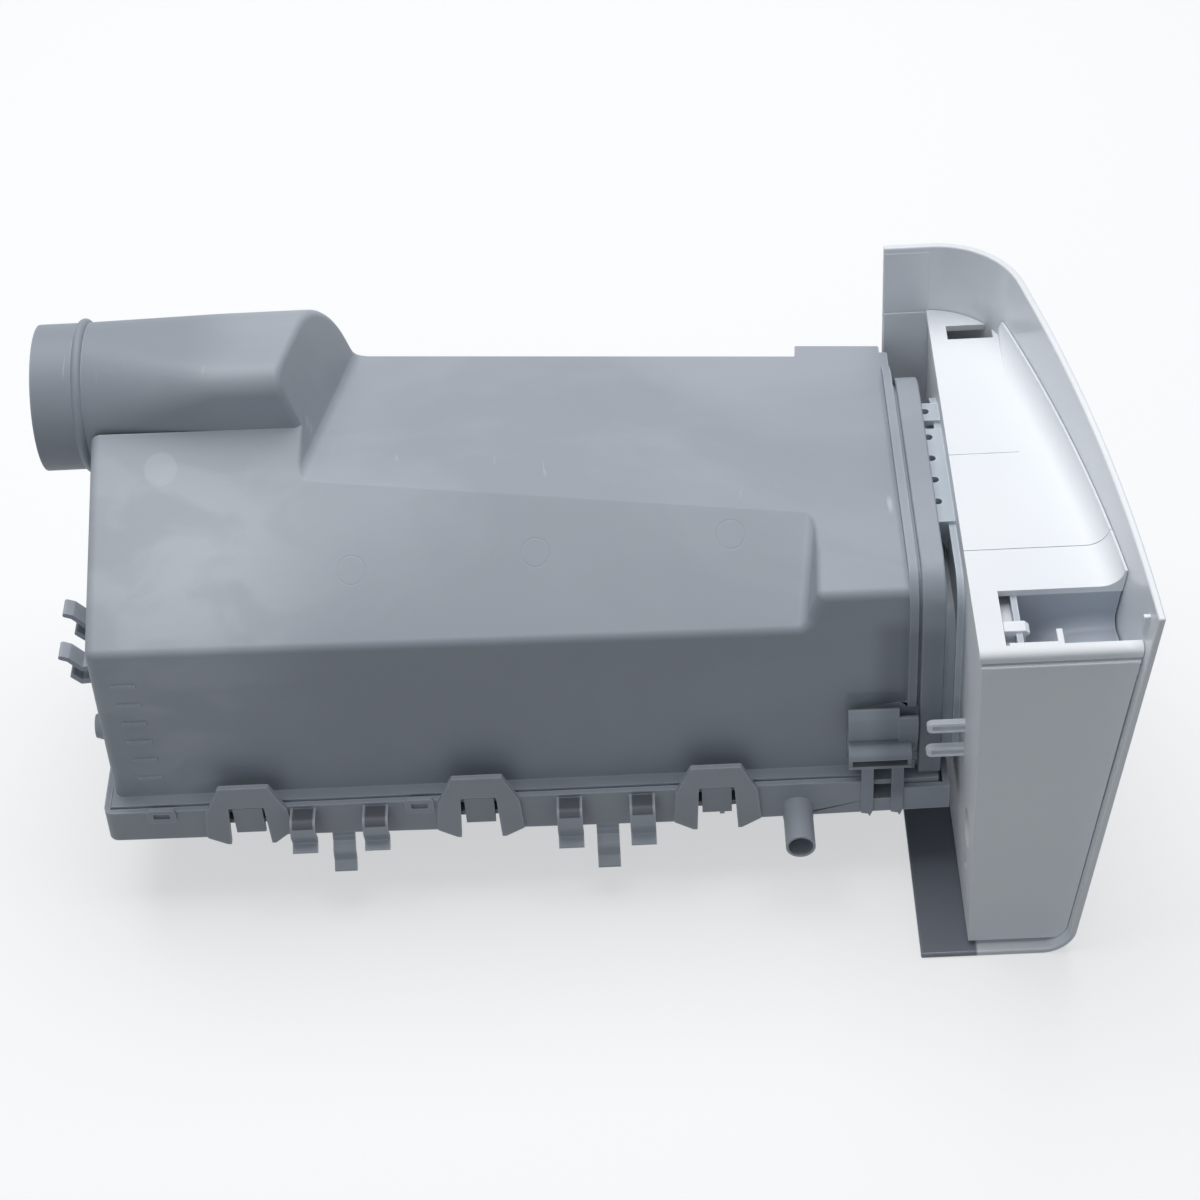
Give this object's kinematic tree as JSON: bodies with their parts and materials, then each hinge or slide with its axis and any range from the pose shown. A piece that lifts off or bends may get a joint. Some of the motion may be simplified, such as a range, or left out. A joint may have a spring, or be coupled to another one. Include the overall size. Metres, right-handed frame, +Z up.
{
  "type": "detergent dispenser drawer",
  "caption": "Washing machine detergent dispenser: grey hopper tub with hose outlet and a sliding drawer with a curved white front panel, lying upside down.",
  "frame": {"origin": "centre of the whole part's bounding box, at its lowest height", "axes": "+X from the tub's rear wall to the drawer front, +Z up as the part lies, floor of the tub upwards (upside down from its place in the machine), +Y away from the side with the cable hooks"},
  "size_m": [0.4034, 0.204, 0.1881],
  "materials": {
    "grey_tub": "satin",
    "grey_cover": "satin",
    "pale_tray": "satin",
    "blue_cap": "satin",
    "white_trim": "satin",
    "white_skin": "gloss",
    "bowl_grey": "satin"
  },
  "bodies": {
    "housing": {"hopper_tub": "grey_tub", "water_cover": "grey_cover", "spray_plate": "grey_cover"},
    "drawer": {"drawer_tray": "pale_tray", "softener_cap": "blue_cap", "handle_body": "white_trim", "top_cover": "white_trim", "grip_frame": "white_trim", "grip_bowl": "bowl_grey", "front_skin": "white_skin"}
  },
  "joints": [
    {"name": "drawer_slide", "type": "slide", "parent": "housing", "child": "drawer", "axis": [1, 0, 0], "range_m": [0, 0.24]}
  ]
}
